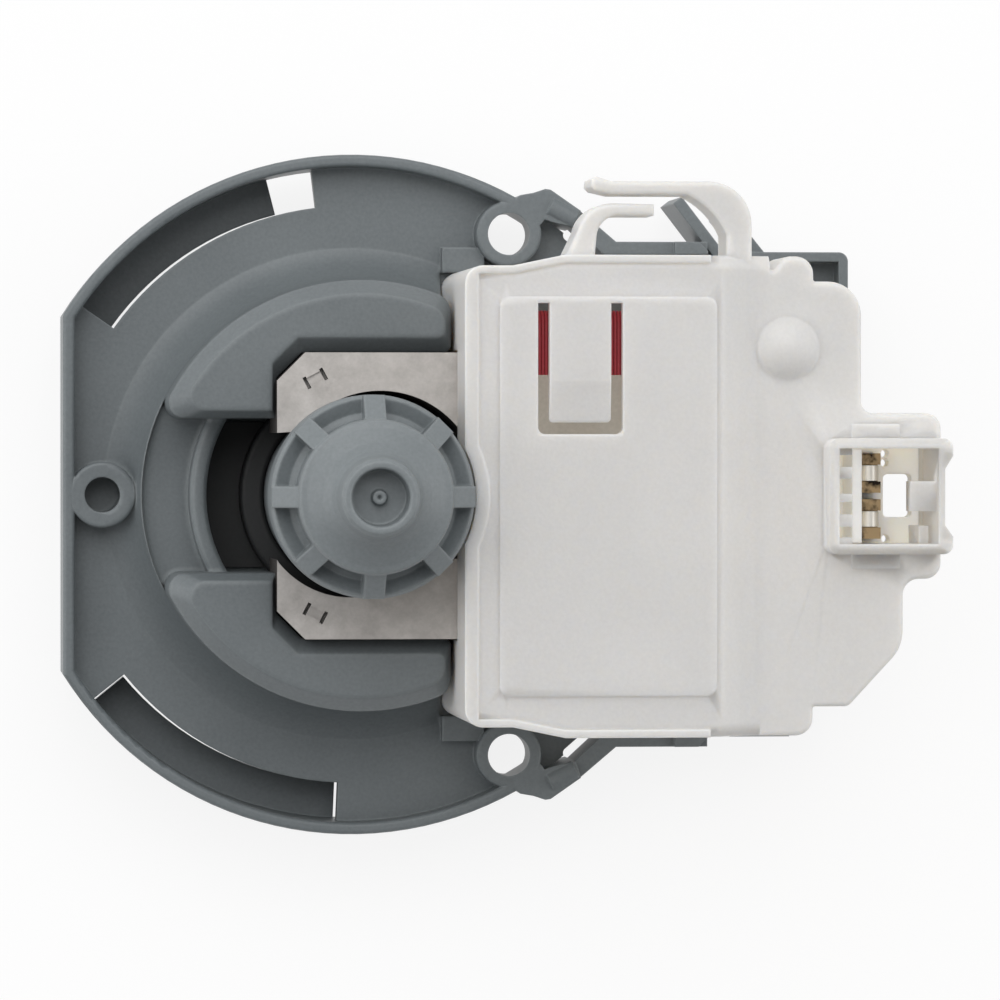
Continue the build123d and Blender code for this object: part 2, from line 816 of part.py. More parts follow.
# Front bearing plate: closes the can, and carries the front bearing in a hub
with BuildPart() as bearing_plate:
    hub_outer = front_holder_radius + front_plate_hub_wall
    ring_outer = can_inner_radius - fit_gap
    ring_inner = ring_outer - front_plate_ring_wall
    add(
        turned(
            [
                (shaft_radius + shaft_hole_gap, plate_front),
                (can_flange_radius, plate_front),
                (can_flange_radius, can_front),
                (ring_outer, can_front),
                (ring_outer, can_front + front_plate_ring_height),
                (ring_inner, can_front + front_plate_ring_height),
                (ring_inner, can_front),
                (hub_outer, can_front),
                (hub_outer, can_front + holder_length),
                (front_holder_radius, can_front + holder_length),
                (front_holder_radius, can_front),
                (shaft_radius + shaft_hole_gap, can_front),
            ]
        )
    )
    with BuildSketch(Plane.XY.offset(plate_front)):
        with PolarLocations(drain_hole_circle, drain_holes):
            Circle(drain_hole_radius / 2)
    extrude(amount=front_plate_thickness, mode=Mode.SUBTRACT)
finish(bearing_plate, "bearing_plate")

# Bearings, each a plain bush in a rubber holder
bearing_places = {
    "front": (can_front, front_holder_radius, bearing_length),
    "rear": (rear_seat_front, rear_seat_radius, rear_seat_depth - running_clearance),
}
for place, (front, holder_radius, length) in bearing_places.items():
    with BuildPart() as bearing:
        with BuildSketch(Plane.XY.offset(front)):
            Circle(bearing_radius)
            Circle(shaft_radius + running_clearance, mode=Mode.SUBTRACT)
        extrude(amount=length)
    finish(bearing, f"{place}_bearing")
    with BuildPart() as holder:
        with BuildSketch(Plane.XY.offset(front)):
            Circle(holder_radius - fit_gap)
            Circle(bearing_radius + fit_gap, mode=Mode.SUBTRACT)
        extrude(amount=min(length, holder_length))
        fillet(holder.faces().sort_by(Axis.Z)[-1].edges(), seal_round)
    finish(holder, f"{place}_bearing_holder")

# Rotor shaft
with BuildPart() as rotor_shaft:
    shaft_front = chamber_front + shaft_front_gap
    shaft_rear = rear_seat_rear + shaft_end_room - shaft_rear_gap
    with BuildSketch(Plane.XY.offset(shaft_front)):
        Circle(shaft_radius)
    extrude(amount=shaft_rear - shaft_front)
    chamfer(rotor_shaft.edges().filter_by(GeomType.CIRCLE), shaft_radius / 5)
finish(rotor_shaft, "rotor_shaft")

# Rotor hub: the moulded sleeve that holds the magnet on the shaft
with BuildPart() as rotor_hub:
    add(
        turned(
            [
                (shaft_radius, hub_front),
                (hub_end_radius, hub_front),
                (hub_end_radius, magnet_front - hub_flange_thickness),
                (hub_flange_radius, magnet_front - hub_flange_thickness),
                (hub_flange_radius, magnet_front),
                (magnet_inner_radius, magnet_front),
                (magnet_inner_radius, magnet_rear),
                (hub_flange_radius, magnet_rear),
                (hub_flange_radius, magnet_rear + hub_flange_thickness),
                (hub_end_radius, magnet_rear + hub_flange_thickness),
                (hub_end_radius, hub_rear),
                (shaft_radius, hub_rear),
            ]
        )
    )
finish(rotor_hub, "rotor_hub")

# Rotor magnet
with BuildPart() as rotor_magnet:
    with BuildSketch(Plane.XY.offset(magnet_front)):
        Circle(magnet_radius)
        Circle(magnet_inner_radius, mode=Mode.SUBTRACT)
    extrude(amount=magnet_length)
finish(rotor_magnet, "rotor_magnet")

# Thrust washers at the two ends of the hub
for place, front in (("front", hub_front - washer_thickness), ("rear", hub_rear)):
    with BuildPart() as washer:
        with BuildSketch(Plane.XY.offset(front)):
            Circle(washer_radius)
            Circle(shaft_radius, mode=Mode.SUBTRACT)
        extrude(amount=washer_thickness)
    finish(washer, f"{place}_thrust_washer")

# Drive dog: pressed on the shaft, it turns free for part of a turn before it meets the impeller's lug
with BuildPart() as drive_dog:
    with BuildSketch(Plane.XY.offset(chamber_front + shaft_front_gap)):
        Circle(dog_radius)
        add(ring_sector(shaft_radius, chamber_radius - dog_gap, -lug_span / 2, lug_span))
        Circle(shaft_radius, mode=Mode.SUBTRACT)
    extrude(amount=chamber_rear - dog_gap - chamber_front - shaft_front_gap)
finish(drive_dog, "drive_dog")

# Impeller, one vane
with BuildPart() as vane:
    with BuildSketch(Plane.XZ):
        with BuildLine():
            Polyline(
                (chamber_radius + fit_gap, impeller_front + vane_bevel / 2),
                (impeller_hub_radius, impeller_front + vane_bevel / 2),
                (impeller_radius - 2 * vane_bevel, impeller_front),
                (impeller_radius, impeller_front + vane_bevel),
                (impeller_radius, impeller_rear),
                (chamber_radius + fit_gap, impeller_rear),
                close=True,
            )
        make_face()
    extrude(amount=vane_thickness / 2, both=True)

# Impeller: straight vanes on a disc, which throw water whichever way the motor starts
with BuildPart() as impeller:
    with BuildSketch(Plane.XY.offset(disc_front)):
        Circle(impeller_radius)
    extrude(amount=impeller_disc)
    with BuildSketch(Plane.XY.offset(impeller_front)):
        Circle(impeller_hub_radius)
    extrude(amount=impeller_rear - impeller_front)
    with PolarLocations(0, vane_count):
        add(vane.part)
    with BuildSketch(Plane.XY.offset(impeller_front)):
        Circle(chamber_radius)
    extrude(amount=chamber_rear - impeller_front, mode=Mode.SUBTRACT)
    with BuildSketch(Plane.XY.offset(chamber_rear)):
        Circle(shaft_radius + running_clearance)
    extrude(amount=chamber_back_wall, mode=Mode.SUBTRACT)
    with BuildSketch(Plane.XY.offset(chamber_front)):
        add(
            ring_sector(
                dog_radius + dog_gap,
                chamber_radius + fit_gap,
                lug_span / 2 + play_clearance,
                lug_span,
            )
        )
    extrude(amount=chamber_rear - chamber_front)
finish(impeller, "impeller")

# Impeller cap: closes the drive chamber
with BuildPart() as impeller_cap:
    with BuildSketch(Plane.XY.offset(impeller_front)):
        Circle(chamber_radius - fit_gap)
    extrude(amount=cap_thickness)
    chamfer(impeller_cap.faces().sort_by(Axis.Z)[0].edges(), cap_thickness / 4)
finish(impeller_cap, "impeller_cap")

# Spigot seal: an O-ring at the root of the spigot, against the flange
with BuildPart() as spigot_seal:
    with BuildSketch(Plane.XZ):
        with Locations(
            (
                spigot_radius - seal_groove_depth + o_ring_section / 2,
                flange_front - o_ring_section / 2,
            )
        ):
            Circle(o_ring_section / 2)
    revolve(axis=Axis.Z)
finish(spigot_seal, "spigot_seal")

# Bobbins and windings: one of each on either leg
for side, name in ((1, "upper"), (-1, "lower")):
    middle = (side * leg_middle, core_middle)
    with BuildPart() as bobbin:
        with BuildSketch(Plane.YZ.offset(bobbin_start)):
            with Locations(middle):
                Rectangle(2 * (half_leg + bobbin_wall), 2 * (half_stack + bobbin_wall))
        extrude(amount=bobbin_length)
        for start, wall_place in (
            (bobbin_start, cover_neck_half_width),
            (bobbin_end - bobbin_flange, cover_half_width),
        ):
            with BuildSketch(Plane.YZ.offset(start)):
                with Locations(middle):
                    Rectangle(2 * (half_leg + flange_reach), 2 * (half_stack + flange_rise))
                with Locations((side * (wall_place - cover_wall - ear_gap - ear_length / 2), core_middle)):
                    Rectangle(ear_length, ear_width)
            extrude(amount=bobbin_flange)
        with BuildSketch(Plane.YZ.offset(bobbin_start)):
            with Locations(middle):
                Rectangle(2 * half_leg, 2 * half_stack)
        extrude(amount=bobbin_length, mode=Mode.SUBTRACT)
    finish(bobbin, f"{name}_bobbin")
    with BuildPart() as winding:
        with BuildSketch(Plane.YZ.offset(bobbin_start + bobbin_flange)):
            with Locations(middle):
                RectangleRounded(
                    2 * (half_leg + winding_build), 2 * (core_stack / 2 + winding_build), winding_round
                )
                Rectangle(
                    2 * (half_leg + bobbin_wall), 2 * (half_stack + bobbin_wall), mode=Mode.SUBTRACT
                )
        extrude(amount=bobbin_length - 2 * bobbin_flange)
    finish(winding, f"{name}_winding")

# Insulating strip laid across both windings
with BuildPart() as insulating_strip:
    with BuildSketch(Plane.XY.offset(winding_rear)):
        with Locations((bobbin_start + bobbin_length / 2, 0)):
            Rectangle(bobbin_length - 2 * (bobbin_flange + strip_margin), 2 * strip_half_width)
    extrude(amount=strip_thickness)
finish(insulating_strip, "insulating_strip")


def cover_outline(inset):
    """Plan of the cover's box, drawn in by inset, with a bite for the can."""
    neck = cover_neck_half_width - inset
    full = cover_half_width - inset
    left = cover_left + inset
    right = cover_right - inset
    with BuildSketch(mode=Mode.PRIVATE) as outline:
        with BuildLine():
            Polyline(
                (left, neck),
                (cover_neck_end, neck),
                (cover_shoulder, full),
                (right, full),
                (right, -full),
                (cover_shoulder, -full),
                (cover_neck_end, -neck),
                (left, -neck),
                close=True,
            )
        make_face()
        corners = outline.vertices().sort_by(Axis.X)
        fillet(corners[2:6], cover_bend)
        fillet(corners[:2], cover_neck_corner - inset)
        fillet(corners[6:], cover_corner)
        Circle(can_ring_radius + cover_can_gap + inset, mode=Mode.SUBTRACT)
    return outline.sketch


def terminal_outline(inset):
    """Plan of the cover's end over the terminals, drawn in by inset."""
    with BuildSketch(mode=Mode.PRIVATE) as outline:
        with BuildLine():
            Polyline(*[(x, y) for x, y, rounding in terminal_plan], close=True)
        make_face()
        for x, y, rounding in terminal_plan:
            if rounding:
                fillet(outline.vertices().sort_by_distance((x, y))[0], rounding)
        if inset:
            offset(amount=-inset, mode=Mode.REPLACE)
    return outline.sketch


# Coil cover, the fall from its main face to the lower face over the terminals
with BuildPart() as cover_slope:
    with BuildSketch(Plane.XZ) as slope_profile:
        with BuildLine():
            Polyline(
                (slope_start - slope_run_in, cover_face),
                (slope_start, cover_face),
                (slope_end, terminal_face),
                (shell_right, terminal_face),
                (shell_right, cover_face + cover_wall),
                (slope_start - slope_run_in, cover_face + cover_wall),
                close=True,
            )
        make_face()
        creases = [
            slope_profile.vertices().sort_by_distance(crease)[0]
            for crease in ((slope_start, 0, cover_face), (slope_end, 0, terminal_face))
        ]
        fillet(creases, slope_round)
    extrude(amount=2 * cover_half_width, both=True)

# Coil cover, the room inside
with BuildPart() as cover_room:
    with BuildSketch(Plane.XY.offset(flange_rear)):
        add(cover_outline(cover_wall))
    extrude(amount=cover_face - cover_wall - flange_rear)
    add(cover_slope.part.moved(Location((-cover_wall / 4, 0, -cover_wall))), mode=Mode.SUBTRACT)

# Coil cover, the end over the terminals
with BuildPart() as cover_end:
    with BuildSketch(Plane.XY.offset(terminal_front)):
        add(terminal_outline(0))
    extrude(amount=terminal_skirt)
    fillet(cover_end.faces().sort_by(Axis.Z)[-1].edges().sort_by(Axis.X)[1:], terminal_edge)

# Coil cover, the two wire hooks
with BuildPart() as wire_hooks:
    with BuildSketch(Plane.XY.offset(terminal_face - hook_depth)):
        with BuildLine():
            ThreePointArc(*long_hook_back)
            Polyline(long_hook_back[2], *long_hook_tip, long_hook_inside[0])
            ThreePointArc(*long_hook_inside)
            Polyline(
                long_hook_inside[2],
                (long_hook_inside[2][0], hook_root),
                (long_hook_back[0][0], hook_root),
                long_hook_back[0],
            )
        make_face()
        with BuildLine():
            ThreePointArc(*short_hook_back)
            Polyline(short_hook_back[2], *short_hook_tip, short_hook_inside[0])
            ThreePointArc(*short_hook_inside)
            Polyline(
                short_hook_inside[2],
                (short_hook_feet[1], hook_root),
                (short_hook_feet[0], hook_root),
                short_hook_back[0],
            )
        make_face()
    extrude(amount=hook_depth)
    fillet(wire_hooks.faces().sort_by(Axis.Z)[-2:].edges().filter_by_position(Axis.Y, hook_root + hook_round, 45), hook_round)

# Coil cover: a box over the windings, with the terminal end, the connector shell and two wire hooks
with BuildPart() as coil_cover:
    with BuildSketch(Plane.XY.offset(flange_rear)):
        add(cover_outline(0))
    extrude(amount=cover_face - flange_rear)
    add(cover_slope.part, mode=Mode.SUBTRACT)
    rear_edges = coil_cover.edges().filter_by_position(Axis.Z, terminal_face, cover_face)
    fillet(
        rear_edges.filter_by_position(Axis.X, 0, slope_start - cover_wall)
        + rear_edges.filter_by(lambda edge: abs(edge.center().Y) > cover_shoulder),
        cover_round,
    )
    add(cover_end.part)
    with Locations((bump_x, bump_y, terminal_face + bump_height - bump_sphere)):
        Sphere(bump_sphere)
    with BuildSketch(Plane.XY.offset(cover_face - panel_height)):
        with Locations((panel_left, 0)):
            RectangleRounded(
                panel_right - panel_left, 2 * panel_half_width, panel_round, align=(Align.MIN, Align.CENTER)
            )
    extrude(amount=2 * panel_height)
    add(cover_room.part, mode=Mode.SUBTRACT)
    with BuildSketch(Plane.XY.offset(terminal_front)):
        add(terminal_outline(terminal_wall))
    extrude(amount=terminal_skirt - cover_wall, mode=Mode.SUBTRACT)

    # Openings in the walls for the stator's legs and for the terminal block's tongue
    with BuildSketch(Plane.YZ.offset(cover_left)):
        with Locations((0, flange_rear)):
            Rectangle(
                2 * (core_half_width + leg_slot_gap),
                core_rear + leg_slot_gap - flange_rear,
                align=(Align.CENTER, Align.MIN),
            )
    extrude(amount=bobbin_start - cover_left, mode=Mode.SUBTRACT)
    with BuildSketch(Plane.YZ.offset(cover_right - 2 * cover_wall)):
        with Locations((0, core_rear)):
            Rectangle(
                2 * (bridge_half_width + bridge_gap),
                block_rear + bridge_gap - core_rear,
                align=(Align.CENTER, Align.MIN),
            )
    extrude(amount=3 * cover_wall, mode=Mode.SUBTRACT)

    # A U-shaped slit leaves a springy tongue, bent inward at its free end
    with BuildSketch(Plane.XY.offset(cover_face - cover_wall)):
        with Locations((window_left, window_bottom)):
            Rectangle(window_right - window_left, window_top - window_bottom, align=Align.MIN)
        with Locations((window_left + window_slit, window_bottom + window_slit)):
            Rectangle(
                window_right - window_left - 2 * window_slit,
                window_top - window_bottom,
                align=Align.MIN,
                mode=Mode.SUBTRACT,
            )
    extrude(amount=cover_wall + panel_height, mode=Mode.SUBTRACT)
    with BuildSketch(Plane.YZ.offset(window_left)):
        with BuildLine():
            Polyline(
                (tongue_bend, cover_face + panel_height),
                (window_bottom, cover_face + panel_height),
                (window_bottom, cover_face + panel_height - tongue_drop),
                close=True,
            )
        make_face()
    extrude(amount=window_right - window_left, mode=Mode.SUBTRACT)

    # Connector shell, with its socket open to the rear
    with BuildSketch(Plane.XY.offset(block_rear)):
        with Locations((shell_left, 0)):
            RectangleRounded(
                shell_right - shell_left, 2 * shell_half_width, shell_round, align=(Align.MIN, Align.CENTER)
            )
        with BuildLine():
            Polyline(*[(shell_right - depth, y) for depth, y in end_recess], close=True)
        make_face(mode=Mode.SUBTRACT)
    extrude(amount=shell_depth)
    with BuildSketch(Plane.XY.offset(terminal_face)):
        with Locations((pad_left, 0)):
            Rectangle(
                pad_right - pad_left, 2 * (shell_half_width + pad_width), align=(Align.MIN, Align.CENTER)
            )
    extrude(amount=pad_rise)
    with BuildSketch(Plane.XY.offset(block_rear)):
        with Locations((shell_inner_left, 0)):
            Rectangle(
                shell_inner_right - shell_inner_left,
                2 * shell_inner_half_width,
                align=(Align.MIN, Align.CENTER),
            )
    extrude(amount=shell_depth, mode=Mode.SUBTRACT)
    with BuildSketch(Plane.XY.offset(terminal_face)):
        for comb_y, comb_width in comb_ribs:
            with Locations((shell_inner_left, comb_y)):
                Rectangle(comb_length, comb_width, align=(Align.MIN, Align.CENTER))
    extrude(amount=shell_rise - comb_drop)
    with BuildSketch(Plane.XY.offset(shell_rear - latch_drop)):
        with Locations((latch_left, 0)):
            Rectangle(
                shell_inner_right - latch_left, 2 * latch_half_width, align=(Align.MIN, Align.CENTER)
            )
    extrude(amount=-latch_height)
    with BuildSketch(Plane.XY.offset(block_rear)):
        with Locations((key_left, -shell_inner_half_width)):
            Rectangle(key_thickness, key_reach, align=(Align.MIN, Align.MIN))
    extrude(amount=shell_depth - key_drop)

    # Wire hooks: a long one over a short one, open toward each other
    add(wire_hooks.part)
finish(coil_cover, "coil_cover")

# Terminal block: holds the contacts in the connector, and a tongue of it rests on the stator core
with BuildPart() as terminal_block:
    with BuildSketch(Plane.XY.offset(block_rear - block_floor)):
        with Locations((block_left, 0)):
            Rectangle(block_right - block_left, 2 * block_half_width, align=(Align.MIN, Align.CENTER))
    extrude(amount=block_floor)
    with BuildSketch(Plane.XY.offset(core_rear)):
        with Locations((bridge_left, 0)):
            Rectangle(block_left - bridge_left, 2 * bridge_half_width, align=(Align.MIN, Align.CENTER))
    extrude(amount=block_rear - core_rear)
    with BuildSketch(Plane.XY.offset(block_rear)):
        with Locations((block_wall_left, 0)):
            Rectangle(
                contact_left - block_wall_left, 2 * block_wall_half_width, align=(Align.MIN, Align.CENTER)
            )
    extrude(amount=block_wall_rise)
    with BuildSketch(Plane.XY.offset(block_rear)):
        with Locations((hole_left, 0)):
            RectangleRounded(
                hole_right - hole_left, 2 * hole_half_width, hole_round, align=(Align.MIN, Align.CENTER)
            )
        with Locations(*peg_holes):
            Circle(peg_hole_radius)
    extrude(amount=-block_floor, mode=Mode.SUBTRACT)
    with BuildSketch(Plane.XY.offset(block_rear)):
        with GridLocations(0, 2 * contact_offset, 1, 2):
            with Locations((contact_left, 0)):
                Rectangle(
                    contact_thickness + contact_gap,
                    contact_width + 2 * contact_gap,
                    align=(Align.MIN, Align.CENTER),
                )
    extrude(amount=-contact_root, mode=Mode.SUBTRACT)
finish(terminal_block, "terminal_block")

# Contacts, each with a slot at its rear end, and the winding pin that lies in the slot
for side, name in ((1, "upper"), (-1, "lower")):
    with BuildPart() as contact:
        with BuildSketch(Plane.XY.offset(block_rear - contact_root)):
            with Locations((contact_left, side * contact_offset)):
                Rectangle(contact_thickness, contact_width, align=(Align.MIN, Align.CENTER))
        extrude(amount=contact_root + contact_rise)
        with BuildSketch(Plane.XY.offset(block_rear + contact_rise)):
            with Locations((contact_left, side * contact_offset)):
                Rectangle(contact_thickness, contact_slot_width, align=(Align.MIN, Align.CENTER))
        extrude(amount=-contact_slot_depth, mode=Mode.SUBTRACT)
    finish(contact, f"{name}_contact")
    with BuildPart() as winding_pin:
        with BuildSketch(Plane.XZ.offset(-side * contact_offset)):
            with Locations((contact_left + contact_thickness / 2, block_rear + contact_rise - pin_radius)):
                Circle(pin_radius)
        extrude(amount=pin_length / 2, both=True)
    finish(winding_pin, f"{name}_winding_pin")
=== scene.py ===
"""Dishwasher drain pump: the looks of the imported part, piece by piece, as it is put together.

Sizes are in millimetres and are turned to metres by mm. +Z runs along the shaft towards the motor's rear
end, which faces the camera, and +X runs from the shaft to the connector.
"""

from math import acos, asin, cos, pi, radians, sin, sqrt

import bmesh
import bpy
from mathutils import Matrix, Vector


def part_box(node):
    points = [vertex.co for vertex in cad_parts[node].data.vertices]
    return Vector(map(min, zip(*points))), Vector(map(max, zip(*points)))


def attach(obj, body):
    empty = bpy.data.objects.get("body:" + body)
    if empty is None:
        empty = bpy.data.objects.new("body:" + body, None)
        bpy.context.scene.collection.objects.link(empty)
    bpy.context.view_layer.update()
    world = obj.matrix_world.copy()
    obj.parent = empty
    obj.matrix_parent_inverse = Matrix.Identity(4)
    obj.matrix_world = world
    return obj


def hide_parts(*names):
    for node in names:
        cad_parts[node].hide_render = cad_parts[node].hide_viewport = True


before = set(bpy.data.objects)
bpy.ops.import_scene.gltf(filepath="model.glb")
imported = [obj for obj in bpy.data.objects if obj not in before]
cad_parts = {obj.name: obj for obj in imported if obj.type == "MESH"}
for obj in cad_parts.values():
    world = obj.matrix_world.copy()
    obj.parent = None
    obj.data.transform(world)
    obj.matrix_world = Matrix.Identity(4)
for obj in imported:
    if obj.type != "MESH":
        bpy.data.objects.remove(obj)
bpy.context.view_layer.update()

# Camera
# The photo is taken from nearly overhead, a little to the left of the pump, with a long lens from about
# 0.8 m. The pump lies on its front, so the camera looks along the shaft at the motor's rear end.
mm = 0.001
picture_side = 1000
sensor = 36.0
lens_pixels = 6283
camera_place = Vector((-57.4, 6.2, 818.0)) * mm
picture_middle = Vector((18.88, -0.7, 18.0)) * mm

camera_data = bpy.data.cameras.new("photo_camera")
camera_data.sensor_width = sensor
camera_data.lens = sensor * lens_pixels / picture_side
camera_data.clip_start = 0.05
camera_data.clip_end = 20
camera = bpy.data.objects.new("photo_camera", camera_data)
bpy.context.scene.collection.objects.link(camera)
look = (picture_middle - camera_place).normalized()
sideways = look.cross(Vector((0, 1, 0))).normalized()
camera_turn = Matrix((sideways, sideways.cross(look), -look)).transposed().to_4x4()
camera.matrix_world = Matrix.Translation(camera_place) @ camera_turn
bpy.context.scene.camera = camera
bpy.context.scene.view_settings.view_transform = "Standard"


# Floor and light
# A plain white table, matt, under three large soft boxes in a pale studio. The table's own glow keeps it
# white to the camera and in reflections, and leaves the object's shadow on it.
def colour(hex_text):
    """A hex sRGB colour as linear RGBA."""
    parts = [int(hex_text[i : i + 2], 16) / 255 for i in (0, 2, 4)]
    return (*(c / 12.92 if c <= 0.04045 else ((c + 0.055) / 1.055) ** 2.4 for c in parts), 1.0)


def add_node(tree, kind, settings=None, links=None):
    """Adds a node. settings gives its properties and its sockets' values, links joins its sockets."""
    made = tree.nodes.new(kind)
    for key, value in (settings or {}).items():
        if isinstance(key, int) or key in made.inputs:
            made.inputs[key].default_value = value
        else:
            setattr(made, key, value)
    for key, source in (links or {}).items():
        tree.links.new(source, made.inputs[key])
    return made


def new_material(name):
    """A new material and its node tree, which is empty."""
    made = bpy.data.materials.new(name)
    made.use_nodes = True
    made.node_tree.nodes.clear()
    return made, made.node_tree


def noise(tree, scale, detail, roughness=0.5):
    """A noise that is fixed to the object, from 0 to 1."""
    place = add_node(tree, "ShaderNodeTexCoord")
    made = add_node(
        tree,
        "ShaderNodeTexNoise",
        {"Scale": scale, "Detail": detail, "Roughness": roughness},
        {"Vector": place.outputs["Object"]},
    )
    return made.outputs["Fac"]


def two_tones(tree, share, first, second):
    """A colour that goes from first to second with share. Each is a hex colour or an output."""
    mix = add_node(tree, "ShaderNodeMix", {"data_type": "RGBA"}, {0: share})
    for socket, tone in zip([s for s in mix.inputs if s.type == "RGBA"], (first, second)):
        if isinstance(tone, str):
            socket.default_value = colour(tone)
        else:
            tree.links.new(tone, socket)
    return next(s for s in mix.outputs if s.type == "RGBA")


def show(tree, shader):
    """Joins a shader to the material's output."""
    add_node(tree, "ShaderNodeOutputMaterial", {}, {"Surface": shader.outputs[0]})


def mesh_piece(name, points, faces, material):
    """A new mesh object from points in millimetres. The object stands at the origin."""
    mesh = bpy.data.meshes.new(name)
    mesh.from_pydata([Vector(p) * mm for p in points], [], faces)
    mesh.update()
    piece = bpy.data.objects.new(name, mesh)
    bpy.context.scene.collection.objects.link(piece)
    piece.data.materials.append(material)
    return piece


floor_size = 1500
floor_glow = 0.85
floor_material, tree = new_material("white_table")
table_top = add_node(tree, "ShaderNodeBsdfDiffuse", {"Color": colour("f4f4f4")})
table_glow = add_node(tree, "ShaderNodeEmission", {"Color": (1, 1, 1, 1), "Strength": 1.0})
seen_by = add_node(tree, "ShaderNodeLightPath")
seen_straight = add_node(tree, "ShaderNodeMath", {"operation": "MAXIMUM"})
tree.links.new(seen_by.outputs["Is Camera Ray"], seen_straight.inputs[0])
tree.links.new(seen_by.outputs["Is Glossy Ray"], seen_straight.inputs[1])
glow_share = add_node(
    tree, "ShaderNodeMath", {"operation": "MULTIPLY", 1: floor_glow}, {0: seen_straight.outputs[0]}
)
table_mix = add_node(
    tree,
    "ShaderNodeMixShader",
    {},
    {0: glow_share.outputs[0], 1: table_top.outputs[0], 2: table_glow.outputs[0]},
)
show(tree, table_mix)
floor = mesh_piece(
    "table",
    [
        (-floor_size, -floor_size, 0),
        (floor_size, -floor_size, 0),
        (floor_size, floor_size, 0),
        (-floor_size, floor_size, 0),
    ],
    [(0, 1, 2, 3)],
    floor_material,
)

studio = bpy.data.worlds.new("studio")
studio.use_nodes = True
studio.node_tree.nodes.clear()
studio_light = add_node(studio.node_tree, "ShaderNodeBackground", {"Color": (1, 1, 1, 1), "Strength": 0.33})
studio_wall = add_node(studio.node_tree, "ShaderNodeBackground", {"Color": (1, 1, 1, 1), "Strength": 1.0})
studio_seen = add_node(studio.node_tree, "ShaderNodeLightPath")
studio_mix = add_node(
    studio.node_tree,
    "ShaderNodeMixShader",
    {},
    {0: studio_seen.outputs["Is Camera Ray"], 1: studio_light.outputs[0], 2: studio_wall.outputs[0]},
)
add_node(studio.node_tree, "ShaderNodeOutputWorld", {}, {"Surface": studio_mix.outputs[0]})
bpy.context.scene.world = studio

# Each lamp: where it stands in millimetres, its side in metres and its watts
lamps = {
    "key_lamp": ((-180, 620, 880), 1.1, 8.8),
    "fill_lamp": ((850, 100, 480), 0.9, 3.4),
    "side_lamp": ((-800, 50, 340), 0.8, 3.0),
}
for name, (place, lamp_side, watts) in lamps.items():
    lamp_data = bpy.data.lights.new(name, "AREA")
    lamp_data.size = lamp_side
    lamp_data.energy = watts
    lamp = bpy.data.objects.new(name, lamp_data)
    lamp.location = Vector(place) * mm
    lamp.rotation_euler = (-lamp.location).to_track_quat("-Z", "Y").to_euler()
    bpy.context.scene.collection.objects.link(lamp)


# Mounting plate
# A moulding of grey polypropylene filled with glass. It is satin, with a faint grain from the mould. Its
# edges are rounded by a few tenths of a millimetre, and by 1 mm round the stator, so they catch the light.
# Their colour is lightened as well, which is a painted highlight.
edge_samples = 6
cloud_noise, skin_noise = (60.0, 3.0), (2200.0, 2.0)
grain_height, grain_strength = 0.03, 0.5
speckle = 0.5
soft_middle, soft_run = 31.0, 1.0
light_reach = 2.5
reach_by_colour = (1.0, 0.9, 0.75)
wall_tint = (1.0, 0.98, 0.95, 1.0)


